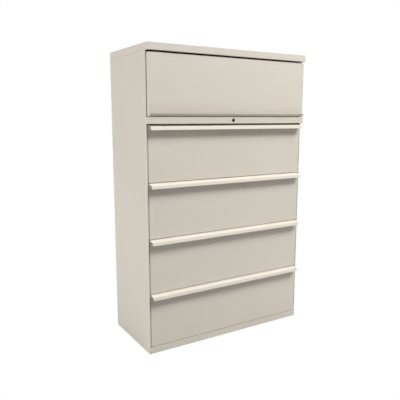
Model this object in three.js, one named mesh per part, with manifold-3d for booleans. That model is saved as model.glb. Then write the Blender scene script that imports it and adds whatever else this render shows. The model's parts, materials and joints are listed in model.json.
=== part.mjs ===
// A five-high lateral filing cabinet in sheet steel: a receding door over the top compartment, a lock rail
// and four drawers on telescoping slides. Millimetres, +Z up, drawers open towards -Y.
// While building, X is 0 at the middle, Y is 0 at the front edge of the case and Z is 0 at the floor.
import * as THREE from 'three';
import { mergeVertices } from 'three/addons/utils/BufferGeometryUtils.js';
import Module from 'manifold-3d';

const wasm = await Module();
wasm.setup();

// ---------- driving dimensions ----------
const caseWidth = 1067;
const caseDepth = 479;
const totalHeight = 1687;
const capHeight = 39;
const capOverhang = 29.5;
const baseHeight = 39;
const drawerCount = 4;
const drawerPitch = 308.6;
const firstSeamHeight = 40.4; // middle of the gap under the lowest drawer
const seamGap = 2.8;
const fit = 0.3; // gap kept between touching pieces

const caseSheet = 1.0;
const drawerSheet = 0.9;
const uprightSheet = 1.5;
const slideSheet = 1.2;
const pullSheet = 1.2;
const bendRadius = 1.2; // inside radius of a bend
const softEdge = 2.2; // outside radius of a pressed edge

const half = caseWidth / 2;
const capBottom = totalHeight - capHeight;
const sideReturn = 5; // width of the side panels' front edge
const rearReturn = 18; // width of the side panels' rear return
const returnBack = caseDepth - caseSheet - fit; // rear face of the returns, which the back panel covers
const insideBack = returnBack - caseSheet - bendRadius - fit; // how far back the pieces inside may reach
const shelfTop = 1312.5;
const drawerInset = 7.5; // from the case's side to a drawer front's edge
const drawerFace = -1; // Y of the drawer fronts
const frontPanDepth = 18;

const railFace = -26;
const railBottom = 1277.5;
const railTop = 1314.7;
const lockHeight = (railBottom + railTop) / 2 + 0.4;

const doorInset = 6.5;
const doorFace = -22.5;
const doorBack = -0.8;
const doorBottom = 1317;
const doorTop = 1639;
const pivotY = 8;
const pivotZ = 1616;
const rollTop = 1400; // the door's face rolls slowly back from here
const rollFoot = 1332;
const rollDepth = 4;

// A pull's section: its reach from the face, its height, where it bends, its strip on the face, and how
// much shorter it is at its lip, each end.
const drawerPull = { reach: 30, height: 27, bendReach: 24, bendDrop: 10, strip: 15, endTaper: 7 };
const doorPull = { reach: 18.5, height: 17.5, bendReach: 15, bendDrop: 12, strip: 13, endTaper: 1 };

const slideStart = 38;
const slideLength = 400;
const slideRise = 72; // slide centre above the drawer front's lower edge
const slideWall = 14.3; // from the case's side to the slide
const trayWall = 27.2; // from the case's side to the tray's outer wall
const barTravel = 12; // lift of the locking bar in a quarter turn

// ---------- colours ----------
const paint = new THREE.Color(0xcbc4b8);
const zinc = new THREE.Color(0xb9bcbd);
const black = new THREE.Color(0x1a1a1a);
const nylon = new THREE.Color(0xe6e3da);
const castIron = new THREE.Color(0x4a4a4a);

function material(color, roughness, metalness) {
  return new THREE.MeshStandardMaterial({ color, roughness, metalness });
}

const finish = {
  paint: () => material(paint, 0.55, 0.1),
  zinc: () => material(zinc, 0.35, 0.9),
  black: () => material(black, 0.4, 0.2),
  nylon: () => material(nylon, 0.6, 0),
  castIron: () => material(castIron, 0.8, 0.4),
};

const cabinet = new THREE.Group();
const frontMost = doorFace + rollDepth - doorPull.reach;
cabinet.position.y = -(frontMost + caseDepth) / 2;

function add(name, geometry, look) {
  const mesh = new THREE.Mesh(geometry, finish[look]());
  mesh.name = name;
  cabinet.add(mesh);
  return mesh;
}

// ---------- solids ----------
function toSolid(geometry) {
  const bare = geometry.clone();
  bare.deleteAttribute('normal');
  bare.deleteAttribute('uv');
  const merged = mergeVertices(bare, 1e-4);
  const vertProperties = new Float32Array(merged.attributes.position.array);
  const triVerts = new Uint32Array(merged.index.array);
  return new wasm.Manifold(new wasm.Mesh({ numProp: 3, vertProperties, triVerts }));
}

function toGeometry(solid) {
  const mesh = solid.getMesh();
  const geometry = new THREE.BufferGeometry();
  geometry.setAttribute('position', new THREE.BufferAttribute(mesh.vertProperties, 3));
  geometry.setIndex(new THREE.BufferAttribute(mesh.triVerts, 1));
  geometry.computeVertexNormals();
  return geometry;
}

function box(low, high) {
  const geometry = new THREE.BoxGeometry(high[0] - low[0], high[1] - low[1], high[2] - low[2]);
  geometry.translate((low[0] + high[0]) / 2, (low[1] + high[1]) / 2, (low[2] + high[2]) / 2);
  return geometry;
}

function boxSolid(low, high) {
  return toSolid(box(low, high));
}

// A cylinder between two places on an axis: 'x', 'y' or 'z'.
function cylinder(axis, radius, start, end, centre, sides = 24) {
  const geometry = new THREE.CylinderGeometry(radius, radius, end - start, sides);
  const middle = (start + end) / 2;
  if (axis === 'x') {
    geometry.rotateZ(Math.PI / 2);
    geometry.translate(middle, centre[0], centre[1]);
  }
  if (axis === 'y') {
    geometry.translate(centre[0], middle, centre[1]);
  }
  if (axis === 'z') {
    geometry.rotateX(Math.PI / 2);
    geometry.translate(centre[0], centre[1], middle);
  }
  return geometry;
}

// The outline of a bent strip: a centre line with rounded bends, thickened both ways.
function stripOutline(path, thickness, insideRadius) {
  const centreRadius = insideRadius + thickness / 2;
  const points = path.map((p) => new THREE.Vector2(p[0], p[1]));
  const left = [];
  const right = [];
  const push = (point, direction) => {
    const normal = new THREE.Vector2(-direction.y, direction.x).multiplyScalar(thickness / 2);
    left.push(point.clone().add(normal));
    right.push(point.clone().sub(normal));
  };
  const last = points.length - 1;
  push(points[0], points[1].clone().sub(points[0]).normalize());
  for (let i = 1; i < last; i += 1) {
    const before = points[i].clone().sub(points[i - 1]).normalize();
    const after = points[i + 1].clone().sub(points[i]).normalize();
    const turn = Math.atan2(before.cross(after), before.dot(after));
    const back = centreRadius * Math.tan(Math.abs(turn) / 2);
    const start = points[i].clone().sub(before.clone().multiplyScalar(back));
    const side = Math.sign(turn);
    const centre = start.clone().add(
      new THREE.Vector2(-before.y, before.x).multiplyScalar(side * centreRadius));
    const steps = 4;
    for (let k = 0; k <= steps; k += 1) {
      const angle = (turn * k) / steps;
      const arm = start.clone().sub(centre).rotateAround(new THREE.Vector2(), angle);
      push(centre.clone().add(arm), before.clone().rotateAround(new THREE.Vector2(), angle));
    }
  }
  push(points[last], points[last].clone().sub(points[last - 1]).normalize());
  return new THREE.Shape(left.concat(right.reverse()));
}

// Bent sheet run along one axis. A path's pairs are (Y, Z) along x, (X, Z) along y and (X, Y) along z.
function bentSheet(axis, path, thickness, start, end, insideRadius = bendRadius) {
  const shape = stripOutline(path, thickness, insideRadius);
  const geometry = new THREE.ExtrudeGeometry(shape, { depth: end - start, bevelEnabled: false });
  geometry.translate(0, 0, start);
  const turnTo = new THREE.Matrix4();
  if (axis === 'x') {
    turnTo.set(0, 0, 1, 0, 1, 0, 0, 0, 0, 1, 0, 0, 0, 0, 0, 1);
  }
  if (axis === 'y') {
    turnTo.set(1, 0, 0, 0, 0, 0, -1, start + end, 0, 1, 0, 0, 0, 0, 0, 1);
  }
  geometry.applyMatrix4(turnTo);
  return geometry;
}

// A block whose front face (towards -Y) has rounded corners and a softened edge.
function softBlock(low, high, corner, edge) {
  const width = high[0] - low[0];
  const height = high[2] - low[2];
  const shape = new THREE.Shape();
  const x = width / 2 - edge;
  const z = height / 2 - edge;
  const r = Math.max(corner - edge, 0.2);
  shape.moveTo(-x + r, -z);
  shape.lineTo(x - r, -z);
  shape.absarc(x - r, -z + r, r, -Math.PI / 2, 0, false);
  shape.absarc(x - r, z - r, r, 0, Math.PI / 2, false);
  shape.absarc(-x + r, z - r, r, Math.PI / 2, Math.PI, false);
  shape.absarc(-x + r, -z + r, r, Math.PI, Math.PI * 1.5, false);
  const geometry = new THREE.ExtrudeGeometry(shape, {
    depth: high[1] - low[1],
    curveSegments: 3,
    bevelEnabled: true,
    bevelThickness: edge,
    bevelSize: edge,
    bevelSegments: 3,
  });
  // the block is made one edge too deep at the back, which is then cut off
  geometry.rotateX(Math.PI / 2);
  geometry.translate((low[0] + high[0]) / 2, high[1] + edge, (low[2] + high[2]) / 2);
  const back = boxSolid([low[0] - 1, high[1], low[2] - 1], [high[0] + 1, high[1] + 9, high[2] + 1]);
  const made = toSolid(geometry);
  return made.subtract(back);
}

// ---------- case ----------
function sidePanel(side) {
  const outer = side * (half - caseSheet / 2);
  const inner = side * (half - sideReturn);
  const rearInner = side * (half - rearReturn);
  const front = caseSheet / 2;
  const back = returnBack - caseSheet / 2;
  const path = [[inner, front], [outer, front], [outer, back], [rearInner, back]];
  const panel = toSolid(bentSheet('z', path, caseSheet, 0, capBottom - fit));
  const railDepth = caseSheet + bendRadius + fit;
  const railRoom = boxSolid([-half - 1, -1, -1], [half + 1, railDepth, baseHeight + fit]);
  return toGeometry(panel.subtract(railRoom));
}

const cornerRadius = 3; // of the cap, the lock rail and the door
const capFlange = 12;
const capSideFlange = 5.5; // short enough for the door to swing up past it

function topCap() {
  const block = softBlock(
    [-half, -capOverhang, capBottom], [half, caseDepth, totalHeight], cornerRadius, softEdge);
  const hollow = boxSolid(
    [-half + caseSheet, -capOverhang + caseSheet, capBottom + caseSheet],
    [half - caseSheet, caseDepth - caseSheet, totalHeight - caseSheet]);
  const mouth = boxSolid(
    [-half + capSideFlange, -capOverhang + capFlange, capBottom - 1],
    [half - capSideFlange, caseDepth - capFlange, capBottom + 2]);
  return toGeometry(block.subtract(hollow).subtract(mouth));
}

const backPanelBottom = 6;

// It lies over the side panels' rear returns, flush with the back of the cap.
function backPanel() {
  const edge = half - fit;
  return box([-edge, caseDepth - caseSheet, backPanelBottom], [edge, caseDepth, capBottom - fit]);
}

const glideInset = 60;
const glideFront = 50;
const glideRear = 430;
const glideFootRadius = 16;
const glideFootLow = 0.6;
const glideFootTop = 8;
const stemTop = 46;
const stemRadius = 4.8;
const nutRadius = 9;
const nutHeight = 12.5;
const panFront = 24;
const panTop = 37.5;
const panHeight = 20;

function glidePlaces() {
  const places = [];
  for (const [sideName, side] of [['left', -1], ['right', 1]]) {
    for (const [endName, y] of [['front', glideFront], ['rear', glideRear]]) {
      places.push({ name: `${endName}_${sideName}`, x: side * (half - glideInset), y });
    }
  }
  return places;
}

function bottomPan() {
  const inset = caseSheet + fit;
  const low = [-half + inset, panFront, panTop - panHeight];
  const high = [half - inset, insideBack, panTop];
  const skin = caseSheet;
  let pan = boxSolid(low, high);
  pan = pan.subtract(boxSolid(
    [low[0] + skin, low[1] + skin, low[2] - 1], [high[0] - skin, high[1] - skin, high[2] - skin]));
  for (const place of glidePlaces()) {
    const centre = [place.x, place.y];
    const nutTop = panTop - skin / 2;
    const nut = toSolid(cylinder('z', nutRadius, nutTop - nutHeight, nutTop, centre, 6));
    const hole = toSolid(cylinder('z', stemRadius + fit, 0, panTop + 5, centre, 16));
    pan = pan.add(nut).subtract(hole);
  }
  return toGeometry(pan);
}

const footFlange = 16;
const ledgeDepth = 22;

function baseRail() {
  const front = caseSheet / 2;
  const path = [
    [footFlange, front],
    [front, front],
    [front, baseHeight - front],
    [ledgeDepth, baseHeight - front],
  ];
  let rail = toSolid(bentSheet('x', path, caseSheet, -half, half));
  for (const side of [-1, 1]) {
    const edges = [side * (half - caseSheet - fit), side * (half + 1)].sort((a, b) => a - b);
    rail = rail.subtract(boxSolid([edges[0], caseSheet, -1], [edges[1], panFront, baseHeight + 1]));
  }
  return toGeometry(rail);
}

const ballastHalfWidth = 350;
const ballastFront = 300;
const ballastBack = 450;
const ballastLow = 4;

function ballastPlate() {
  return box(
    [-ballastHalfWidth, ballastFront, ballastLow],
    [ballastHalfWidth, ballastBack, panTop - caseSheet - fit]);
}

const shelfFront = 30;
const shelfFlange = 22;

function compartmentShelf() {
  const inset = caseSheet + fit;
  const low = [-half + inset, shelfFront, shelfTop - shelfFlange];
  const high = [half - inset, insideBack, shelfTop];
  const block = boxSolid(low, high);
  const hollow = boxSolid(
    [low[0] + caseSheet, low[1] + caseSheet, low[2] - 1],
    [high[0] - caseSheet, high[1] - caseSheet, high[2] - caseSheet]);
  return toGeometry(block.subtract(hollow));
}

// ---------- lock rail and lock ----------
const lockBarrelRadius = 8;
const lockFlangeRadius = 9.3;
const lockFlangeDepth = 2;
const lockPlugRadius = 6.2;
const plugProud = 2.6; // how far the plug stands out of the rail
const plugBack = 4;
const railFlangeInset = 32; // keeps the rail's flanges clear of the uprights and the locking bar

function lockRail() {
  const low = [-half + 1, railFace, railBottom];
  const high = [half - 1, -fit, railTop];
  let rail = softBlock(low, high, cornerRadius, softEdge);
  rail = rail.subtract(boxSolid(
    [low[0] + caseSheet, low[1] + caseSheet, low[2] + caseSheet],
    [high[0] - caseSheet, 1, high[2] - caseSheet]));
  const flangeEnd = half - railFlangeInset;
  for (const z of [railBottom, railTop - caseSheet]) {
    rail = rail.add(boxSolid([-flangeEnd, -2, z], [flangeEnd, shelfFront - fit, z + caseSheet]));
  }
  const hole = cylinder('y', lockBarrelRadius + fit, railFace - 5, railFace + 5, [0, lockHeight], 32);
  return toGeometry(rail.subtract(toSolid(hole)));
}

function lockHousing() {
  const flange = toSolid(
    cylinder('y', lockFlangeRadius, railFace - lockFlangeDepth, railFace - fit, [0, lockHeight], 40));
  const barrel = toSolid(cylinder('y', lockBarrelRadius, railFace - 1, 2, [0, lockHeight], 40));
  const bore = toSolid(cylinder('y', lockPlugRadius + fit, railFace - 9, 9, [0, lockHeight], 40));
  return toGeometry(flange.add(barrel).subtract(bore));
}

function lockPlug() {
  const plug = toSolid(cylinder('y', lockPlugRadius, railFace - plugProud, plugBack, [0, lockHeight], 32));
  const keyway = boxSolid(
    [-0.8, railFace - 4, lockHeight - 4], [0.8, railFace + 8, lockHeight + 4]);
  return toGeometry(plug.subtract(keyway));
}

const camArmRadius = 4;
const camPinArm = 12; // from the plug's axis to the cam's pin
const pinRadius = 2;
const camBack = 6;
const rodFront = 8;
const rodBack = 9.5;
const rodHalfHeight = 6;

function lockCam() {
  const front = plugBack + fit;
  const pinZ = lockHeight + camPinArm;
  const plate = toSolid(cylinder('y', camArmRadius + 3, front, camBack, [0, lockHeight], 24));
  const arm = boxSolid([-camArmRadius, front, lockHeight], [camArmRadius, camBack, pinZ]);
  const tip = toSolid(cylinder('y', camArmRadius, front, camBack, [0, pinZ], 20));
  const pin = toSolid(cylinder('y', pinRadius, camBack - 1, rodBack + 1.5, [0, pinZ], 16));
  return toGeometry(plate.add(arm).add(tip).add(pin));
}

const liftPinX = half - 30;
const liftPinZ = lockHeight - 6.5;
const slotHalfWidth = 2.5;
const camPlateHalfWidth = 10;
const liftPlateHalfHeight = 12;

// A flat cross rod: an upright slot takes the cam's pin, a 45 degree slot lifts the locking bar.
function lockRod() {
  const strip = boxSolid(
    [0, rodFront, lockHeight - rodHalfHeight], [half - 40, rodBack, lockHeight + rodHalfHeight]);
  const camPlate = boxSolid(
    [-camPlateHalfWidth, rodFront, lockHeight - rodHalfHeight],
    [camPlateHalfWidth, rodBack, railTop - 2]);
  const liftPlate = boxSolid(
    [half - 52, rodFront, lockHeight - liftPlateHalfHeight],
    [half - 20, rodBack, lockHeight + liftPlateHalfHeight]);
  // twice as wide as the pin, because the cam's pin gains on the rod and loses again in a quarter turn
  const camSlot = boxSolid(
    [-2 * slotHalfWidth + 0.1, 0, lockHeight - slotHalfWidth],
    [2 * slotHalfWidth - 0.1, 20, lockHeight + camPinArm + slotHalfWidth]);
  const liftSlot = new THREE.BoxGeometry(barTravel * Math.SQRT2 + 6, 20, 2 * slotHalfWidth);
  liftSlot.rotateY(Math.PI / 4);
  liftSlot.translate(liftPinX - barTravel / 2, rodFront, liftPinZ + barTravel / 2);
  const rod = strip.add(camPlate).add(liftPlate);
  return toGeometry(rod.subtract(camSlot).subtract(toSolid(liftSlot)));
}

const barTabRise = 150; // tab height above each drawer's lower edge

const barSheet = 2;
const barOuter = half - 5;
const barFront = 20;
const barBack = 29;
const barBottom = 70;
const tabReach = 16; // how far a tab stands in from the bar's outer face
const tabHeight = 12;
const tabGap = 2; // between a tab and the catch above it, unlocked

// An upright bar beside the right front upright, with one stop tab for each drawer.
function lockBar() {
  let bar = boxSolid([barOuter - barSheet, barFront, barBottom], [barOuter, barBack, lockHeight]);
  const head = boxSolid(
    [liftPinX - 5, barFront, liftPinZ - 6], [barOuter, barFront + barSheet, liftPinZ + 6]);
  const pin = toSolid(
    cylinder('y', pinRadius, rodFront - 1.5, barFront + barSheet / 2, [liftPinX, liftPinZ], 16));
  bar = bar.add(head).add(pin);
  for (let number = 1; number <= drawerCount; number += 1) {
    const top = drawerBottom(number) + barTabRise - tabGap;
    bar = bar.add(boxSolid(
      [barOuter - tabReach, barBack - barSheet, top - tabHeight], [barOuter, barBack, top]));
  }
  return toGeometry(bar);
}

// ---------- uprights and slides ----------
const uprightDepth = 40;

function upright(side, front) {
  const open = side * (half - caseSheet - fit);
  const web = side * (half - slideWall + fit + uprightSheet / 2);
  const path = [[open, front], [web, front], [web, front + uprightDepth], [open, front + uprightDepth]];
  return bentSheet('z', path, uprightSheet, panTop + fit, railBottom - 12);
}

// A slide member in section: a channel with its web towards the case and its edges towards the drawer.
function slideMember(side, drawer, webOffset, reach, rise) {
  const centre = drawerBottom(drawer) + slideRise;
  const web = side * (half - slideWall - webOffset - slideSheet / 2);
  const lip = side * (half - slideWall - reach);
  const path = [[lip, centre + rise], [web, centre + rise], [web, centre - rise], [lip, centre - rise]];
  return bentSheet('y', path, slideSheet, slideStart, slideStart + slideLength, 1);
}

// ---------- door ----------
const trackSheet = 0.8;
const trackStart = 1.6;
const trackEnd = 312;
const trackReach = 5.6; // from the case's side to the track's lips
const trackHalfHeight = 7.6;
const carriageLength = 70;
const carriageHalfHeight = 6.2;
const hingePinRadius = 3;
const earSheet = 1.5;
const earRadius = 6;

function doorTrack(side) {
  const lip = side * (half - trackReach);
  const web = side * (half - caseSheet - fit - trackSheet / 2);
  const top = pivotZ + trackHalfHeight;
  const bottom = pivotZ - trackHalfHeight;
  const path = [[lip, top], [web, top], [web, bottom], [lip, bottom]];
  return bentSheet('y', path, trackSheet, trackStart, trackEnd, trackSheet / 2);
}

function doorCarriage(side) {
  const edges = [side * (half - 2.5), side * (half - trackReach + fit)].sort((a, b) => a - b);
  const slider = boxSolid(
    [edges[0], 2, pivotZ - carriageHalfHeight], [edges[1], 2 + carriageLength, pivotZ + carriageHalfHeight]);
  const pinEnds = [side * (half - 4), side * (half - 17)].sort((a, b) => a - b);
  const pin = toSolid(cylinder('x', hingePinRadius, pinEnds[0], pinEnds[1], [pivotY, pivotZ], 20));
  return toGeometry(slider.add(pin));
}

// The room in front of a face that rolls slowly back towards the door's lower edge.
function roomOfRoll(face) {
  const steps = 12;
  const section = new THREE.Shape();
  section.moveTo(face - 5, rollTop);
  for (let step = 0; step <= steps; step += 1) {
    const share = step / steps;
    section.lineTo(face + rollDepth * share ** 2, rollTop + (rollFoot - rollTop) * share);
  }
  section.lineTo(face + rollDepth, doorBottom - 5);
  section.lineTo(face - 5, doorBottom - 5);
  const room = new THREE.ExtrudeGeometry(section, { depth: 2 * half, bevelEnabled: false });
  room.applyMatrix4(new THREE.Matrix4().makeBasis(
    new THREE.Vector3(0, 1, 0), new THREE.Vector3(0, 0, 1), new THREE.Vector3(1, 0, 0)));
  room.translate(-half, 0, 0);
  return toSolid(room);
}

// A pan open to the back, with an ear behind each top corner for the hinge pin.
function doorPanel() {
  const edge = half - doorInset;
  const skin = softBlock([-edge, doorFace, doorBottom], [edge, doorBack, doorTop], cornerRadius, softEdge);
  const hollow = boxSolid(
    [-edge + caseSheet, doorFace + caseSheet, doorBottom + caseSheet],
    [edge - caseSheet, 5, doorTop - caseSheet]);
  let door = skin.subtract(roomOfRoll(doorFace));
  door = door.subtract(hollow.subtract(roomOfRoll(doorFace + caseSheet)));
  for (const side of [-1, 1]) {
    const faces = [side * edge, side * (edge - earSheet)].sort((a, b) => a - b);
    const plate = boxSolid(
      [faces[0], doorFace + 4, pivotZ - 2 * earRadius], [faces[1], pivotY, pivotZ + earRadius]);
    const round = toSolid(cylinder('x', earRadius, faces[0], faces[1], [pivotY, pivotZ], 24));
    const hole = toSolid(
      cylinder('x', hingePinRadius + fit, faces[0] - 1, faces[1] + 1, [pivotY, pivotZ], 24));
    door = door.add(plate).add(round).subtract(hole);
  }
  return toGeometry(door);
}

function doorLiner() {
  const inset = doorInset + earSheet + fit;
  const edge = caseSheet + fit;
  const back = doorBack - 0.2;
  return box(
    [-half + inset, back - caseSheet, doorBottom + edge], [half - inset, back, doorTop - edge]);
}

// ---------- drawers ----------
const frontCorner = 5; // corner radius of a drawer front
const pullBend = 1.5;

// Drawer 1 is the highest.
function drawerBottom(number) {
  return firstSeamHeight + seamGap / 2 + (drawerCount - number) * drawerPitch;
}

function drawerTop(number) {
  return drawerBottom(number) + drawerPitch - seamGap;
}

function drawerFront(number) {
  const edge = half - drawerInset;
  const back = drawerFace + frontPanDepth;
  const low = [-edge, drawerFace, drawerBottom(number)];
  const high = [edge, back, drawerTop(number)];
  const block = softBlock(low, high, frontCorner, softEdge);
  const hollow = boxSolid(
    [low[0] + drawerSheet, low[1] + drawerSheet, low[2] + drawerSheet],
    [high[0] - drawerSheet, back + 5, high[2] - drawerSheet]);
  return toGeometry(block.subtract(hollow));
}

// A hood: a strip on the face, a slope out of it and a lip, with ends that taper towards the lip.
// upright is 1 for a hood that drops from a top edge and -1 for one that rises from a bottom edge.
function hoodPull(pull, face, edgeHeight, upright, endInset) {
  const skin = face - fit - pullSheet / 2;
  const at = (reach, drop) => [face - reach, edgeHeight - upright * drop];
  const path = [
    [skin, edgeHeight - upright * pull.strip],
    [skin, edgeHeight - upright * (pullSheet / 2)],
    at(pull.bendReach, pull.bendDrop),
    at(pull.reach - pullSheet / 2, pull.height),
  ];
  const reach = half - endInset;
  const beyond = face - pull.reach - 1;
  let hood = toSolid(bentSheet('x', path, pullSheet, -reach, reach, pullBend));
  for (const side of [-1, 1]) {
    const corner = new THREE.Shape([
      new THREE.Vector2(side * (reach + 5), face),
      new THREE.Vector2(side * reach, face),
      new THREE.Vector2(side * (reach - pull.endTaper), beyond),
      new THREE.Vector2(side * (reach + 5), beyond),
    ]);
    const wedge = new THREE.ExtrudeGeometry(corner, { depth: 80, bevelEnabled: false });
    wedge.translate(0, 0, edgeHeight - 40);
    hood = hood.subtract(toSolid(wedge));
  }
  return toGeometry(hood);
}

const trayFront = drawerFace + frontPanDepth + fit;
const trayBack = slideStart + slideLength - 8;
const trayFloorRise = 12;
const trayEndHeight = 268; // front and back walls
const traySideHeight = 118;
const trayShoulder = 26; // length of the tall part of a side wall, at each end
const catchFront = 30;
const catchHeight = 10;

// A folded tray: a low side wall each side, a tall front wall behind the drawer front and a tall back.
function drawerTray(number) {
  const floor = drawerBottom(number) + trayFloorRise;
  const top = floor + trayEndHeight;
  const edge = half - trayWall;
  let tray = boxSolid([-edge, trayFront, floor], [edge, trayBack, top]);
  tray = tray.subtract(boxSolid(
    [-edge + drawerSheet, trayFront + drawerSheet, floor + drawerSheet],
    [edge - drawerSheet, trayBack - drawerSheet, top + 1]));
  tray = tray.subtract(boxSolid(
    [-edge - 1, trayFront + trayShoulder, floor + traySideHeight],
    [edge + 1, trayBack - trayShoulder, top + 1]));
  const catchLow = drawerBottom(number) + barTabRise;
  const catchTop = catchLow + catchHeight;
  const plate = boxSolid([edge - 0.5, catchFront, catchLow - 22], [edge + 1.2, catchFront + 12, catchTop]);
  const hook = boxSolid([edge, catchFront, catchLow], [half - slideWall - 0.7, catchFront + 2, catchTop]);
  return toGeometry(tray.add(plate).add(hook));
}

// ---------- assembly ----------
add('top_cap', topCap(), 'paint');
add('left_side_panel', sidePanel(-1), 'paint');
add('right_side_panel', sidePanel(1), 'paint');
add('back_panel', backPanel(), 'paint');
add('bottom_pan', bottomPan(), 'zinc');
add('base_rail', baseRail(), 'paint');
add('ballast_plate', ballastPlate(), 'castIron');
add('compartment_shelf', compartmentShelf(), 'paint');
add('lock_rail', lockRail(), 'paint');

for (const [sideName, side] of [['left', -1], ['right', 1]]) {
  add(`${sideName}_front_upright`, upright(side, slideStart + 4), 'zinc');
  add(`${sideName}_rear_upright`, upright(side, slideStart + slideLength - 44), 'zinc');
  add(`${sideName}_door_track`, doorTrack(side), 'zinc');
  add(`${sideName}_door_carriage`, doorCarriage(side), 'nylon');
}

for (const place of glidePlaces()) {
  const centre = [place.x, place.y];
  const foot = toSolid(cylinder('z', glideFootRadius, glideFootLow, glideFootTop, centre, 32));
  const stem = toSolid(cylinder('z', stemRadius, glideFootTop - 1, stemTop, centre, 16));
  add(`${place.name}_glide`, toGeometry(foot.add(stem)), 'black');
}

add('lock_housing', lockHousing(), 'black');
add('lock_plug', lockPlug(), 'black');
add('lock_cam', lockCam(), 'zinc');
add('lock_rod', lockRod(), 'zinc');
add('lock_bar', lockBar(), 'zinc');

add('door_panel', doorPanel(), 'paint');
add('door_liner', doorLiner(), 'paint');
add('door_pull', hoodPull(doorPull, doorFace + rollDepth, doorBottom, -1, doorInset), 'paint');

for (let number = 1; number <= drawerCount; number += 1) {
  add(`drawer_${number}_front`, drawerFront(number), 'paint');
  add(`drawer_${number}_pull`, hoodPull(drawerPull, drawerFace, drawerTop(number), 1, drawerInset), 'paint');
  add(`drawer_${number}_tray`, drawerTray(number), 'paint');
  for (const [sideName, side] of [['left', -1], ['right', 1]]) {
    const slide = `drawer_${number}_${sideName}_slide`;
    add(`${slide}_case_member`, slideMember(side, number, 0, 9.5, 22.5), 'zinc');
    add(`${slide}_middle_member`, slideMember(side, number, 3, 10.5, 18), 'zinc');
  }
}

export default cabinet;
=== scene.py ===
"""Looks for the lateral filing cabinet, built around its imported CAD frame. Metres, Z up, front towards -Y."""
import json
import math

import bmesh
import bpy
from mathutils import Matrix, Vector


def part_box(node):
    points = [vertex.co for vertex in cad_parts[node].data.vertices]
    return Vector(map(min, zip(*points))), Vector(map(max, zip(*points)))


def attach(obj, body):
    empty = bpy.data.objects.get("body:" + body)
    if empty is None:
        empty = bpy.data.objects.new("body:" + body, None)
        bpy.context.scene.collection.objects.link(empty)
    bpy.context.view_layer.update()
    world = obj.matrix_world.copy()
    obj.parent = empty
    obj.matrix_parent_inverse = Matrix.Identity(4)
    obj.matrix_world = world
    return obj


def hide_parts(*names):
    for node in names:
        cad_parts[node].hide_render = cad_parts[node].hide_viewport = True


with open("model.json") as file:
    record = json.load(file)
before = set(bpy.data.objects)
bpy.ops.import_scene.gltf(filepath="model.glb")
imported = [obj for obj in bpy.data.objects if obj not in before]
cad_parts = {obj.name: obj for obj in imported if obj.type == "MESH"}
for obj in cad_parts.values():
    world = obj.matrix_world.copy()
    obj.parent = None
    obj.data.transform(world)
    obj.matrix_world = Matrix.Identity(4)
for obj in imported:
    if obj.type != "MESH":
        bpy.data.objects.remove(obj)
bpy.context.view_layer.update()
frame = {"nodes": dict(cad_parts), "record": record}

MM = 0.001
SIDES = {"left": -1, "right": 1}
DRAWERS = (1, 2, 3, 4)
nodes = frame["nodes"]


# ---------- camera ----------
CAMERA_PLACE = Vector((-1.62356, -2.53591, 1.30548))
CAMERA_YAW = math.radians(31.461)  # turned from straight ahead (+Y) towards +X
CAMERA_PITCH = math.radians(-9.514)
CAMERA_LENS = 43.707


def make_camera():
    data = bpy.data.cameras.new("camera")
    data.lens = CAMERA_LENS
    data.sensor_width = 36
    data.clip_start = 0.05
    data.clip_end = 60
    camera = bpy.data.objects.new("camera", data)
    camera.location = CAMERA_PLACE
    camera.rotation_euler = (math.radians(90) + CAMERA_PITCH, 0, -CAMERA_YAW)
    bpy.context.scene.collection.objects.link(camera)
    bpy.context.scene.camera = camera


# ---------- light and stage ----------
KEY_POWER = 1120
TOP_POWER = 8
SIDE_POWER = 940
FRONT_POWER = 100
BACK_POWER = 900
WORLD_STRENGTH = 0.01
FLOOR_GREY = 0.45
FLOOR_REACH = 30
AIM = Vector((0, -0.2, 0.85))


def light_direction(azimuth, elevation):
    """Towards the light. Azimuth 0 is straight in front of the cabinet and grows towards its right."""
    azimuth = math.radians(azimuth)
    elevation = math.radians(elevation)
    return Vector((
        math.sin(azimuth) * math.cos(elevation),
        -math.cos(azimuth) * math.cos(elevation),
        math.sin(elevation),
    ))


def softbox(name, azimuth, elevation, distance, width, height, power):
    data = bpy.data.lights.new(name, "AREA")
    data.shape = "RECTANGLE"
    data.size = width
    data.size_y = height
    data.energy = power
    light = bpy.data.objects.new(name, data)
    direction = light_direction(azimuth, elevation)
    light.location = AIM + direction * distance
    light.rotation_euler = direction.to_track_quat("Z", "Y").to_euler()
    bpy.context.scene.collection.objects.link(light)


def make_lights():
    softbox("key_light", 34, 56, 10, 6.4, 2.2, KEY_POWER)
    softbox("top_light", 48, 55, 2.6, 0.9, 0.9, TOP_POWER)
    softbox("side_light", -100, 10, 12, 4.2, 2.6, SIDE_POWER)
    softbox("front_light", 20, 30, 12, 4.2, 2.6, FRONT_POWER)
    softbox("back_light", 150, 35, 12, 5.0, 3.0, BACK_POWER)


def white_to_camera(tree, output, other):
    """Pure white where the camera looks straight at it. The other rays get the given shader."""
    white = tree.nodes.new("ShaderNodeEmission")
    white.inputs["Color"].default_value = (1, 1, 1, 1)
    path = tree.nodes.new("ShaderNodeLightPath")
    mix = tree.nodes.new("ShaderNodeMixShader")
    tree.links.new(path.outputs["Is Camera Ray"], mix.inputs["Fac"])
    tree.links.new(other, mix.inputs[1])
    tree.links.new(white.outputs["Emission"], mix.inputs[2])
    tree.links.new(mix.outputs["Shader"], output.inputs["Surface"])


def make_world():
    world = bpy.data.worlds.new("studio")
    world.use_nodes = True
    tree = world.node_tree
    tree.nodes.clear()
    output = tree.nodes.new("ShaderNodeOutputWorld")
    fill = tree.nodes.new("ShaderNodeBackground")
    fill.inputs["Color"].default_value = (1, 1, 1, 1)
    fill.inputs["Strength"].default_value = WORLD_STRENGTH
    white_to_camera(tree, output, fill.outputs["Background"])
    bpy.context.scene.world = world


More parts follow.
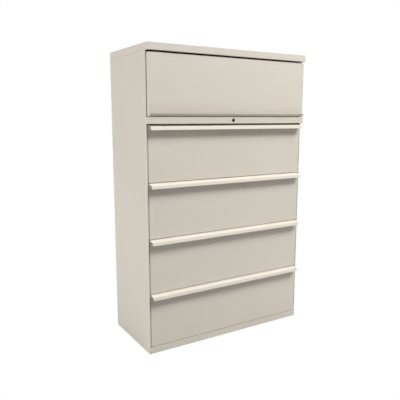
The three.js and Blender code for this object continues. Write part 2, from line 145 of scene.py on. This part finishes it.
def make_floor():
    reach = FLOOR_REACH
    mesh = bpy.data.meshes.new("floor")
    corners = [(-reach, -reach, 0), (reach, -reach, 0), (reach, reach, 0), (-reach, reach, 0)]
    mesh.from_pydata(corners, [], [(0, 1, 2, 3)])
    floor = bpy.data.objects.new("floor", mesh)
    bpy.context.scene.collection.objects.link(floor)
    material = bpy.data.materials.new("studio_floor")
    material.use_nodes = True
    tree = material.node_tree
    shader = tree.nodes["Principled BSDF"]
    shader.inputs["Base Color"].default_value = (FLOOR_GREY, FLOOR_GREY, FLOOR_GREY, 1)
    shader.inputs["Roughness"].default_value = 0.9
    shader.inputs["Specular IOR Level"].default_value = 0.0
    white_to_camera(tree, tree.nodes["Material Output"], shader.outputs["BSDF"])
    mesh.materials.append(material)


# ---------- material building blocks ----------
class Shader:
    """A Principled material whose nodes read the object's own coordinates, in metres."""

    def __init__(self, name):
        self.material = bpy.data.materials.new(name)
        self.material.use_nodes = True
        self.tree = self.material.node_tree
        self.surface = self.tree.nodes["Principled BSDF"]
        coordinates = self.tree.nodes.new("ShaderNodeTexCoord")
        self.place = coordinates.outputs["Object"]

    def set(self, **values):
        for name, value in values.items():
            self.surface.inputs[name.replace("_", " ")].default_value = value

    def link(self, output, name):
        self.tree.links.new(output, self.surface.inputs[name])

    def stretched(self, scale):
        mapping = self.tree.nodes.new("ShaderNodeMapping")
        mapping.inputs["Scale"].default_value = scale
        self.tree.links.new(self.place, mapping.inputs["Vector"])
        return mapping.outputs["Vector"]

    def noise(self, scale, detail=2.0, roughness=0.5, place=None):
        node = self.tree.nodes.new("ShaderNodeTexNoise")
        node.inputs["Scale"].default_value = scale
        node.inputs["Detail"].default_value = detail
        node.inputs["Roughness"].default_value = roughness
        self.tree.links.new(place or self.place, node.inputs["Vector"])
        return node.outputs["Fac"]

    def cells(self, scale):
        node = self.tree.nodes.new("ShaderNodeTexVoronoi")
        node.inputs["Scale"].default_value = scale
        self.tree.links.new(self.place, node.inputs["Vector"])
        return node.outputs["Color"]

    def ramp(self, value, *stops):
        node = self.tree.nodes.new("ShaderNodeValToRGB")
        elements = node.color_ramp.elements
        while len(elements) < len(stops):
            elements.new(0.5)
        for element, (position, colour) in zip(elements, stops):
            element.position = position
            element.color = (*colour, 1)
        self.tree.links.new(value, node.inputs["Fac"])
        return node.outputs["Color"]

    def between(self, value, low, high):
        node = self.tree.nodes.new("ShaderNodeMapRange")
        node.inputs["To Min"].default_value = low
        node.inputs["To Max"].default_value = high
        self.tree.links.new(value, node.inputs["Value"])
        return node.outputs["Result"]

    def mixed(self, one, other, share, blend="MIX"):
        node = self.tree.nodes.new("ShaderNodeMix")
        node.data_type = "RGBA"
        node.blend_type = blend
        node.inputs["Factor"].default_value = share
        self.tree.links.new(one, node.inputs["A"])
        self.tree.links.new(other, node.inputs["B"])
        return node.outputs["Result"]

    def bump(self, height, strength, distance, below=None):
        node = self.tree.nodes.new("ShaderNodeBump")
        node.inputs["Strength"].default_value = strength
        node.inputs["Distance"].default_value = distance
        self.tree.links.new(height, node.inputs["Height"])
        if below is not None:
            self.tree.links.new(below, node.inputs["Normal"])
        return node.outputs["Normal"]


def tint(colour, share):
    return tuple(channel * share for channel in colour)


# ---------- materials ----------
PAINT = (0.720, 0.670, 0.580)
ZINC = (0.60, 0.61, 0.62)
IRON = (0.050, 0.049, 0.048)
NYLON = (0.78, 0.75, 0.67)


def powder_coat():
    """Baked powder paint: a fine orange peel with grains, and faint drifts of tone from sheet to sheet."""
    shader = Shader("powder_coat")
    drift = shader.ramp(
        shader.noise(2.4, 3.0), (0.35, tint(PAINT, 0.982)), (0.65, tint(PAINT, 1.018)))
    grain = shader.ramp(
        shader.noise(620.0, 2.0, 0.6), (0.3, tint(PAINT, 0.955)), (0.7, tint(PAINT, 1.045)))
    shader.link(shader.mixed(drift, grain, 0.5), "Base Color")
    shader.link(shader.between(shader.noise(38.0, 3.0), 0.40, 0.54), "Roughness")
    peel = shader.bump(shader.noise(240.0, 1.5), 0.22, 0.25 * MM)
    shader.link(shader.bump(shader.noise(1100.0, 2.0), 0.18, 0.08 * MM, peel), "Normal")
    return shader.material


def zinc_steel():
    """Zinc-plated sheet: satin streaks along the rolling direction over faint crystal patches."""
    shader = Shader("zinc_steel")
    streaks = shader.noise(1.0, 4.0, 0.6, shader.stretched((300.0, 12.0, 300.0)))
    patches = shader.ramp(
        shader.cells(95.0), (0.0, tint(ZINC, 0.86)), (1.0, tint(ZINC, 1.10)))
    lines = shader.ramp(streaks, (0.3, tint(ZINC, 0.9)), (0.7, tint(ZINC, 1.08)))
    shader.link(shader.mixed(patches, lines, 0.5), "Base Color")
    shader.link(shader.between(streaks, 0.26, 0.46), "Roughness")
    shader.link(shader.bump(streaks, 0.12, 0.05 * MM), "Normal")
    shader.set(Metallic=1.0)
    return shader.material


def bearing_steel():
    """Polished steel of the slides' balls and of the rivets, with fine wear."""
    shader = Shader("bearing_steel")
    wear = shader.noise(420.0, 3.0, 0.6)
    shader.link(shader.ramp(wear, (0.3, (0.46, 0.46, 0.47)), (0.7, (0.68, 0.68, 0.69))), "Base Color")
    shader.link(shader.between(wear, 0.14, 0.32), "Roughness")
    shader.set(Metallic=1.0)
    return shader.material


def black_metal():
    """Black satin lacquer with light rub marks."""
    shader = Shader("black_metal")
    rubs = shader.noise(1.0, 5.0, 0.65, shader.stretched((260.0, 260.0, 60.0)))
    shader.link(shader.ramp(rubs, (0.35, (0.006, 0.006, 0.006)), (0.75, (0.020, 0.020, 0.021))), "Base Color")
    shader.link(shader.between(rubs, 0.30, 0.48), "Roughness")
    shader.link(shader.bump(shader.noise(700.0, 2.0), 0.1, 0.05 * MM), "Normal")
    return shader.material


def nylon():
    """Natural moulded nylon: waxy, faintly mottled."""
    shader = Shader("nylon")
    mottle = shader.noise(90.0, 3.0)
    shader.link(shader.ramp(mottle, (0.3, tint(NYLON, 0.94)), (0.7, tint(NYLON, 1.05))), "Base Color")
    shader.link(shader.between(mottle, 0.38, 0.52), "Roughness")
    shader.link(shader.bump(shader.noise(500.0, 1.0), 0.1, 0.06 * MM), "Normal")
    shader.set(Subsurface_Weight=0.08, Subsurface_Scale=0.002)
    return shader.material


def cast_iron():
    """Raw sand-cast surface with a few rusty specks."""
    shader = Shader("cast_iron")
    pits = shader.noise(260.0, 5.0, 0.7)
    rust = shader.ramp(
        shader.noise(34.0, 6.0, 0.7), (0.60, IRON), (0.72, (0.095, 0.052, 0.030)))
    shade = shader.ramp(pits, (0.3, tint(IRON, 0.6)), (0.7, tint(IRON, 1.5)))
    shader.link(shader.mixed(rust, shade, 0.5), "Base Color")
    shader.link(shader.between(pits, 0.62, 0.85), "Roughness")
    shader.link(shader.bump(pits, 0.6, 0.5 * MM), "Normal")
    shader.set(Metallic=0.35)
    return shader.material


def rubber():
    """Black moulded rubber with a dusty, matte skin."""
    shader = Shader("rubber")
    dust = shader.noise(150.0, 5.0, 0.6)
    shader.link(shader.ramp(dust, (0.35, (0.011, 0.011, 0.011)), (0.8, (0.034, 0.033, 0.031))), "Base Color")
    shader.link(shader.between(dust, 0.68, 0.86), "Roughness")
    shader.link(shader.bump(shader.noise(600.0, 2.0), 0.25, 0.08 * MM), "Normal")
    return shader.material


# ---------- CAD nodes ----------
SLOT_OF_NODE = {part["node"]: part["material_slot"] for part in frame["record"]["subparts"]}
EDGE_ROUNDING = 0.28 * MM
SMOOTH_ANGLE = math.radians(34)


def dress_node(name):
    """Gives a CAD node its material and softens its cut edges, with modifiers only."""
    node = nodes[name]
    node.data.materials.clear()
    node.data.materials.append(MATERIALS[SLOT_OF_NODE[name]])
    weld = node.modifiers.new("weld", "WELD")
    weld.merge_threshold = 0.002 * MM
    flat = node.modifiers.new("flat_faces", "DECIMATE")
    flat.decimate_type = "DISSOLVE"
    flat.angle_limit = math.radians(0.5)
    rounding = node.modifiers.new("rounding", "BEVEL")
    rounding.width = EDGE_ROUNDING
    rounding.segments = 2
    rounding.limit_method = "ANGLE"
    rounding.angle_limit = math.radians(50)
    node.modifiers.new("shading", "WEIGHTED_NORMAL")


# ---------- mesh building blocks ----------
def add_block(build, low, high, rounding=0.4 * MM):
    """A box with rounded edges."""
    low = Vector(low)
    high = Vector(high)
    made = bmesh.ops.create_cube(build, size=1)
    size = high - low
    shape = Matrix.Translation((low + high) / 2) @ Matrix.Diagonal((*size, 1))
    bmesh.ops.transform(build, matrix=shape, verts=made["verts"])
    edges = list(dict.fromkeys(edge for vert in made["verts"] for edge in vert.link_edges))
    bmesh.ops.bevel(build, geom=edges, offset=min(rounding, min(size) * 0.45), segments=3, affect="EDGES")


def strip_sides(path, thickness, bend):
    """The two long sides of a bent strip's section: its centre line, with round bends, moved both ways."""
    radius = bend + thickness / 2
    points = [Vector(point) for point in path]
    left = []
    right = []

    def push(point, direction):
        normal = Vector((-direction.y, direction.x)) * (thickness / 2)
        left.append(point + normal)
        right.append(point - normal)

    push(points[0], (points[1] - points[0]).normalized())
    for before, corner, after in zip(points, points[1:], points[2:]):
        into = (corner - before).normalized()
        away = (after - corner).normalized()
        turn = math.atan2(into.x * away.y - into.y * away.x, into.dot(away))
        start = corner - into * (radius * math.tan(abs(turn) / 2))
        side = math.copysign(1, turn)
        centre = start + Vector((-into.y, into.x)) * (side * radius)
        steps = 6
        for step in range(steps + 1):
            spin = Matrix.Rotation(turn * step / steps, 2)
            push(centre + spin @ (start - centre), spin @ into)
    push(points[-1], (points[-1] - points[-2]).normalized())
    return left, right


def add_strip(build, axis, path, thickness, bend, start, end):
    """Bent sheet run along an axis. A path's pairs are (Y, Z) along x, (X, Z) along y and (X, Y) along z."""
    left, right = strip_sides(path, thickness, bend)

    def corner(point, along):
        places = {
            "x": (along, point.x, point.y),
            "y": (point.x, along, point.y),
            "z": (point.x, point.y, along),
        }
        return build.verts.new(places[axis])

    rings = [[corner(point, along) for point in left + right[::-1]] for along in (start, end)]
    count = len(rings[0])
    for index in range(count):
        following = (index + 1) % count
        build.faces.new((rings[0][index], rings[0][following], rings[1][following], rings[1][index]))
    for ring in rings:
        for index in range(len(left) - 1):
            build.faces.new((ring[index], ring[index + 1], ring[count - 2 - index], ring[count - 1 - index]))


def add_turned(build, profile, place, direction, sides=24, shape=None):
    """A solid of revolution. The profile's pairs are (radius, distance along the direction), axis to axis.
    shape(ring number, angle) scales a ring's radius, for recesses that aren't round."""
    turn = Vector(direction).to_track_quat("Z", "Y").to_matrix()
    rings = []
    for number, (radius, along) in enumerate(profile):
        if radius == 0:
            rings.append([build.verts.new(Vector(place) + turn @ Vector((0, 0, along)))])
            continue
        ring = []
        for side in range(sides):
            angle = 2 * math.pi * side / sides
            reach = radius * (shape(number, angle) if shape else 1)
            ring.append(build.verts.new(
                Vector(place) + turn @ Vector((reach * math.cos(angle), reach * math.sin(angle), along))))
        rings.append(ring)
    for low, high in zip(rings, rings[1:]):
        for side in range(sides):
            following = (side + 1) % sides
            corners = [low[side % len(low)], low[following % len(low)]]
            corners += [high[following % len(high)], high[side % len(high)]]
            build.faces.new(list(dict.fromkeys(corners)))


def in_metres(profile):
    """A profile given in millimetres, as add_turned needs it."""
    return [(radius * MM, along * MM) for radius, along in profile]


def add_rivet(build, place, direction, radius, height):
    """A domed rivet head, let 0.1 mm into the sheet it sits on."""
    profile = [(0, -0.1 * MM), (radius, -0.1 * MM), (radius, height * 0.25)]
    for step in (20, 40, 60, 75):
        angle = math.radians(step)
        profile.append((radius * math.cos(angle), height * (0.25 + 0.75 * math.sin(angle))))
    profile.append((0, height))
    add_turned(build, profile, place, direction)


def add_screw(build, place, direction, radius, height):
    """A pan-head screw with a cross recess."""
    recess = height * 0.65

    def cross(ring, angle):
        return 0.38 + 0.62 * abs(math.cos(2 * angle)) ** 4 if ring in (5, 6) else 1

    profile = [
        (0, -0.1 * MM),
        (radius, -0.1 * MM),
        (radius, height * 0.35),
        (radius * 0.9, height * 0.8),
        (radius * 0.72, height),
        (radius * 0.52, height),
        (radius * 0.42, height - recess),
        (0, height - recess * 1.1),
    ]
    add_turned(build, profile, place, direction, 32, cross)


def add_ball(build, place, radius):
    shape = Matrix.Translation(place)
    bmesh.ops.create_icosphere(build, subdivisions=2, radius=radius, matrix=shape)


def place_piece(name, build, body, look):
    """Makes the object: outward faces, soft shading up to the smooth angle, riding on its body."""
    bmesh.ops.recalc_face_normals(build, faces=build.faces[:])
    for face in build.faces:
        face.smooth = True
    for edge in build.edges:
        edge.smooth = edge.calc_face_angle(0) < SMOOTH_ANGLE
    mesh = bpy.data.meshes.new(name)
    build.to_mesh(mesh)
    build.free()
    mesh.materials.append(MATERIALS[look])
    made = bpy.data.objects.new(name, mesh)
    bpy.context.scene.collection.objects.link(made)
    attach(made, body)
    return made


# ---------- slides ----------
SLIDE_SHEET = 1.2 * MM
MEMBER_RISE = 13 * MM  # half the height of a drawer member
MEMBER_REACH = 7 * MM  # how far its edges reach towards the case
OUTER_BALL = 1.55 * MM
INNER_BALL = 1.75 * MM
BALL_PITCH = 16 * MM
BALLS_IN_ROW = 12
CAGE_HALF_WIDTH = 0.9 * MM
CAGE_HALF_THICKNESS = 0.3 * MM
CAGE_OVERHANG = 5 * MM
RIVET_SHARES = (0.08, 0.36, 0.64, 0.92)  # places along a drawer member
CASE_RIVET_SHARES = (0.06, 0.11, 0.89, 0.94)


def tray_half_width(number):
    return -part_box(f"drawer_{number}_tray")[0].x


def slide_box(number, member):
    """The left slide member's box. The right one is its mirror image."""
    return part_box(f"drawer_{number}_left_slide_{member}_member")


def drawer_members(number):
    """The slides' drawer members: channels riveted to the tray, open towards the case."""
    low, high = slide_box(number, "middle")
    middle = (low.z + high.z) / 2
    web = tray_half_width(number) + 0.4 * MM + SLIDE_SHEET / 2
    for name, side in SIDES.items():
        lip = side * (web + MEMBER_REACH)
        path = [
            (lip, middle + MEMBER_RISE),
            (side * web, middle + MEMBER_RISE),
            (side * web, middle - MEMBER_RISE),
            (lip, middle - MEMBER_RISE),
        ]
        build = bmesh.new()
        add_strip(build, "y", path, SLIDE_SHEET, 1 * MM, low.y, high.y)
        for share in RIVET_SHARES:
            along = low.y + (high.y - low.y) * share
            add_rivet(build, (side * (web + SLIDE_SHEET / 2), along, middle), (side, 0, 0), 4 * MM, 1.1 * MM)
        place_piece(f"drawer_{number}_{name}_slide_drawer_member", build, f"drawer_{number}", "zinc_steel")


def ball_rows(number, name, body, rise, reach, radius):
    """Two rows of balls a side in their cage strips, in the front half of the slide."""
    low, high = slide_box(number, "middle")
    middle = (low.z + high.z) / 2
    start = low.y + 8 * MM
    end = start + BALL_PITCH * (BALLS_IN_ROW - 1)
    build = bmesh.new()
    for side in SIDES.values():
        for edge in (-1, 1):
            height = middle + edge * rise
            add_block(
                build,
                (side * reach - CAGE_HALF_WIDTH, start - CAGE_OVERHANG, height - CAGE_HALF_THICKNESS),
                (side * reach + CAGE_HALF_WIDTH, end + CAGE_OVERHANG, height + CAGE_HALF_THICKNESS),
                CAGE_HALF_THICKNESS / 2)
            for index in range(BALLS_IN_ROW):
                add_ball(build, (side * reach, start + BALL_PITCH * index, height), radius)
    place_piece(f"drawer_{number}_{name}", build, body, "bearing_steel")


def slide_balls(number):
    """The balls between case and middle member, and those between middle and drawer member."""
    case_low, case_high = slide_box(number, "case")
    low, high = slide_box(number, "middle")
    case_edge = (case_high.z - case_low.z) / 2 - SLIDE_SHEET
    middle_edge = (high.z - low.z) / 2
    reach = -(case_low.x + case_high.x) / 2
    ball_rows(number, "outer_balls", "case", (case_edge + middle_edge) / 2, reach, OUTER_BALL)
    inner_edge = middle_edge - SLIDE_SHEET
    drawer_edge = MEMBER_RISE + SLIDE_SHEET / 2
    reach = -(low.x + high.x) / 2 - 1 * MM
    ball_rows(
        number, "inner_balls", f"drawer_{number}_runners", (inner_edge + drawer_edge) / 2, reach, INNER_BALL)


def case_rivets():
    """Rivet heads that hold the case members to the uprights."""
    build = bmesh.new()
    for number in DRAWERS:
        low, high = slide_box(number, "case")
        middle = (low.z + high.z) / 2
        for side in SIDES.values():
            web = side * (-low.x - SLIDE_SHEET)
            for share in CASE_RIVET_SHARES:
                along = low.y + (high.y - low.y) * share
                for edge in (-1, 1):
                    place = (web, along, middle + edge * 11 * MM)
                    add_rivet(build, place, (-side, 0, 0), 3 * MM, 0.8 * MM)
    place_piece("case_member_rivets", build, "case", "zinc_steel")


# ---------- drawers ----------
RAIL_SHEET = 1.0 * MM
RAIL_RISE = 1.6 * MM  # how far the hang rails stand off the tray's walls
RAIL_RIVETS = 5
BAR_HALF_WIDTH = 6 * MM
BAR_HALF_SHEET = 0.8 * MM
BAR_FOOT = 12 * MM
TRAY_SHEET = 0.9 * MM
TRAY_SIDE_HEIGHT = 118 * MM
FLOOR_RIBS = 7
RIB_RISE = 1.4 * MM
SCREW_HEIGHTS = (40 * MM, 225 * MM)  # rows of screws over the tray's floor
BUMPER = [(0, -0.1), (9, -0.1), (9, 2), (7, 3), (6, 10), (4.5, 12), (0, 12.6)]


def hang_rails(number):
    """Folded rails over the tray's front and back walls for hanging files, and two loose cross bars."""
    low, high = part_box(f"drawer_{number}_tray")
    half = tray_half_width(number) - 4 * MM
    top = high.z + RAIL_RISE
    build = bmesh.new()
    lips = []
    for wall, inward in ((low.y + TRAY_SHEET / 2, 1), (high.y - TRAY_SHEET / 2, -1)):
        stand = wall + inward * RAIL_RISE
        lip = wall + inward * 7 * MM
        path = [(stand, top - 16 * MM), (stand, top), (lip, top), (lip, top - 9 * MM)]
        add_strip(build, "x", path, RAIL_SHEET, 1 * MM, -half, half)
        lips.append(lip)
        for step in range(RAIL_RIVETS):
            along = half * (-0.92 + 0.46 * step)
            place = (along, stand + inward * RAIL_SHEET / 2, top - 10 * MM)
            add_rivet(build, place, (0, inward, 0), 2.5 * MM, 0.9 * MM)
    place_piece(f"drawer_{number}_hang_rails", build, f"drawer_{number}", "zinc_steel")
    front, back = lips
    build = bmesh.new()
    for side in SIDES.values():
        across = side * half * 0.32
        add_block(
            build,
            (across - BAR_HALF_SHEET, front + 1 * MM, top - 15 * MM),
            (across + BAR_HALF_SHEET, back - 1 * MM, top + 1.4 * MM))
        for start, end in (
                (front - 3 * MM, front - 3 * MM + BAR_FOOT),
                (back + 3 * MM - BAR_FOOT, back + 3 * MM)):
            add_block(
                build,
                (across - BAR_HALF_WIDTH, start, top + 0.8 * MM),
                (across + BAR_HALF_WIDTH, end, top + 2.2 * MM))
    place_piece(f"drawer_{number}_cross_bars", build, f"drawer_{number}", "zinc_steel")


def tray_folds(number):
    """Hemmed edges along the tray's low side walls and pressed ribs in its floor."""
    low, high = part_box(f"drawer_{number}_tray")
    half = tray_half_width(number)
    side_top = low.z + TRAY_SIDE_HEIGHT
    floor = low.z + TRAY_SHEET
    build = bmesh.new()
    for side in SIDES.values():
        wall = side * (half - TRAY_SHEET / 2)
        hem = wall - side * 2.6 * MM
        path = [(hem, side_top - 9 * MM), (hem, side_top + 0.6 * MM), (wall, side_top + 0.6 * MM)]
        add_strip(build, "y", path, TRAY_SHEET, 0.8 * MM, low.y + 27 * MM, high.y - 27 * MM)
    for rib in range(FLOOR_RIBS):
        across = half * (-0.84 + 0.28 * rib)
        path = [
            (across - 9 * MM, floor - 0.1 * MM),
            (across - 5 * MM, floor + RIB_RISE),
            (across + 5 * MM, floor + RIB_RISE),
            (across + 9 * MM, floor - 0.1 * MM),
        ]
        add_strip(build, "y", path, 0.7 * MM, 1.5 * MM, low.y + 22 * MM, high.y - 22 * MM)
    place_piece(f"drawer_{number}_tray_folds", build, f"drawer_{number}", "powder_coat")


def drawer_fixings(number):
    """Screws through the tray's front wall into the drawer front, and the slides' rivet heads inside."""
    low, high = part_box(f"drawer_{number}_tray")
    half = tray_half_width(number)
    slide_low, slide_high = slide_box(number, "middle")
    middle = (slide_low.z + slide_high.z) / 2
    build = bmesh.new()
    for height in SCREW_HEIGHTS:
        for step in (-3, -1, 1, 3):
            place = (half * 0.29 * step, low.y + TRAY_SHEET, low.z + height)
            add_screw(build, place, (0, 1, 0), 4.5 * MM, 2 * MM)
    for side in SIDES.values():
        for share in RIVET_SHARES:
            along = slide_low.y + (slide_high.y - slide_low.y) * share
            if along < high.y - 5 * MM:
                place = (side * (half - TRAY_SHEET), along, middle)
                add_rivet(build, place, (-side, 0, 0), 4.5 * MM, 1.2 * MM)
    place_piece(f"drawer_{number}_fixings", build, f"drawer_{number}", "bearing_steel")


def drawer_bumpers(number):
    """Rubber buffers on the tray's back wall."""
    low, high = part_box(f"drawer_{number}_tray")
    build = bmesh.new()
    for side in SIDES.values():
        place = (side * tray_half_width(number) * 0.86, high.y, low.z + 60 * MM)
        add_turned(build, in_metres(BUMPER), place, (0, 1, 0), 32)
    place_piece(f"drawer_{number}_bumpers", build, f"drawer_{number}", "rubber")


# ---------- case ----------
GLIDES = [f"{end}_{side}" for side in SIDES for end in ("front", "rear")]
THREAD_PITCH = 1.5 * MM
THREAD_DEPTH = 0.55 * MM
STEM_RADIUS = 4.8 * MM
GLIDE_FOOT = [(0, 1.2), (14.8, 1.2), (15.7, 1.8), (15.9, 3.0), (14.6, 4.4), (9.5, 6.4), (8.2, 7.6), (0, 7.8)]
GLIDE_PAD = [(0, 0), (13.6, 0), (14.6, 0.5), (14.6, 1.3), (0, 1.3)]


def add_thread(build, centre, low, high):
    """A stem with a true helical thread, closed at both ends."""
    sides = 24
    rows = int((high - low) / THREAD_PITCH * 6)
    rings = []
    for row in range(rows + 1):
        height = low + (high - low) * row / rows
        ring = []
        for side in range(sides):
            phase = ((height - low) / THREAD_PITCH - side / sides) % 1
            radius = STEM_RADIUS - THREAD_DEPTH * abs(2 * phase - 1)
            angle = 2 * math.pi * side / sides
            ring.append(build.verts.new((
                centre.x + radius * math.cos(angle), centre.y + radius * math.sin(angle), height)))
        rings.append(ring)
    for below, above in zip(rings, rings[1:]):
        for side in range(sides):
            following = (side + 1) % sides
            build.faces.new((below[side], below[following], above[following], above[side]))
    build.faces.new(rings[0])
    build.faces.new(rings[-1])


def glide(name):
    """A levelling glide: a flared foot with a soft pad, and its threaded stem."""
    low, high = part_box(f"{name}_glide")
    centre = (low + high) / 2
    foot = Vector((centre.x, centre.y, low.z))
    build = bmesh.new()
    add_turned(build, in_metres(GLIDE_FOOT), foot, (0, 0, 1), 40)
    add_thread(build, centre, low.z + 7.2 * MM, high.z)
    made = place_piece(f"{name}_glide_foot", build, f"{name}_foot", "black_metal")
    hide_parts(f"{name}_glide")
    build = bmesh.new()
    add_turned(build, in_metres(GLIDE_PAD), foot, (0, 0, 1), 40)
    place_piece(f"{name}_glide_pad", build, f"{name}_foot", "rubber")


GROOVE_HALF = 9 * MM
GROOVE_SLOPE = 3 * MM
GROOVE_DEPTH = 0.7 * MM
GROOVE_INSET = 90 * MM  # from the sheet's ends
COUNTERSINK = [(0, -0.5), (5.4, -0.5), (3.2, 0.85), (0, 0.85)]
SCREW_ROWS = 9
SCREW_COLUMNS = 5
SCREW_INSET = 9 * MM


def back_sheet():
    """The back panel with three shallow pressed grooves and countersunk screws along its edges."""
    low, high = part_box("back_panel")
    build = bmesh.new()
    add_block(build, low, high, 0.15 * MM)
    sheet = place_piece("back_panel_sheet", build, "case", "powder_coat")
    cutter = bmesh.new()
    for across in (-1, 0, 1):
        centre = across * (high.x - low.x) * 0.27
        corners = [
            (centre - GROOVE_HALF, high.y + 0.3 * MM),
            (centre - GROOVE_HALF + GROOVE_SLOPE, high.y - GROOVE_DEPTH),
            (centre + GROOVE_HALF - GROOVE_SLOPE, high.y - GROOVE_DEPTH),
            (centre + GROOVE_HALF, high.y + 0.3 * MM),
        ]
        rings = []
        for height in (low.z + GROOVE_INSET, high.z - GROOVE_INSET):
            rings.append([cutter.verts.new((x, y, height)) for x, y in corners])
        for index in range(4):
            following = (index + 1) % 4
            cutter.faces.new((rings[0][index], rings[0][following], rings[1][following], rings[1][index]))
        cutter.faces.new(rings[0])
        cutter.faces.new(rings[1])
    places = screw_places(low, high)
    for x, z in places:
        add_turned(cutter, in_metres(COUNTERSINK), (x, high.y, z), (0, -1, 0))
    cut(sheet, cutter)
    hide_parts("back_panel")
    build = bmesh.new()
    for x, z in places:
        add_screw(build, (x, high.y - 0.75 * MM, z), (0, 1, 0), 3.9 * MM, 0.7 * MM)
    place_piece("back_panel_screws", build, "case", "bearing_steel")


def screw_places(low, high):
    """Along both upright edges, and along the bottom."""
    places = []
    for row in range(SCREW_ROWS):
        height = low.z + 30 * MM + (high.z - low.z - 60 * MM) * row / (SCREW_ROWS - 1)
        places += [(low.x + SCREW_INSET, height), (high.x - SCREW_INSET, height)]
    for column in range(1, SCREW_COLUMNS):
        across = low.x + (high.x - low.x) * column / SCREW_COLUMNS
        places += [(across, low.z + 24 * MM)]
    return places


def cut(piece, cutter):
    """Cuts the closed shapes in a bmesh out of a piece, and applies the result to its mesh."""
    bmesh.ops.recalc_face_normals(cutter, faces=cutter.faces[:])
    mesh = bpy.data.meshes.new("cutter")
    cutter.to_mesh(mesh)
    cutter.free()
    tool = bpy.data.objects.new("cutter", mesh)
    bpy.context.scene.collection.objects.link(tool)
    boolean = piece.modifiers.new("cut", "BOOLEAN")
    boolean.operation = "DIFFERENCE"
    boolean.solver = "EXACT"
    boolean.object = tool
    bpy.context.view_layer.update()
    graph = bpy.context.evaluated_depsgraph_get()
    result = bpy.data.meshes.new_from_object(piece.evaluated_get(graph))
    piece.modifiers.clear()
    piece.data = result
    bpy.data.objects.remove(tool)


HINGE_WASHER = [(0, 0), (5.6, 0), (5.8, 0.3), (5.6, 0.8), (0, 0.8)]


def hinge_washers():
    """Retaining washers on the door's hinge pins, inside the door's ears."""
    build = bmesh.new()
    for name, side in SIDES.items():
        low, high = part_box(f"{name}_door_carriage")
        ear = abs(high.x if side > 0 else low.x)
        centre = (side * (ear - 6.6 * MM), low.y + 6 * MM, (low.z + high.z) / 2)
        add_turned(build, in_metres(HINGE_WASHER), centre, (-side, 0, 0), 32)
    place_piece("door_hinge_washers", build, "door_carriages", "bearing_steel")


# ---------- the scene ----------
make_camera()
make_world()
make_lights()
make_floor()
MATERIALS = {
    "powder_coat": powder_coat(),
    "zinc_steel": zinc_steel(),
    "bearing_steel": bearing_steel(),
    "black_metal": black_metal(),
    "nylon": nylon(),
    "cast_iron": cast_iron(),
    "rubber": rubber(),
}

for node_name in nodes:
    dress_node(node_name)
for drawer in DRAWERS:
    drawer_members(drawer)
    slide_balls(drawer)
    hang_rails(drawer)
    tray_folds(drawer)
    drawer_fixings(drawer)
    drawer_bumpers(drawer)
case_rivets()
for glide_name in GLIDES:
    glide(glide_name)
back_sheet()
hinge_washers()

bpy.context.scene.view_settings.view_transform = "Standard"
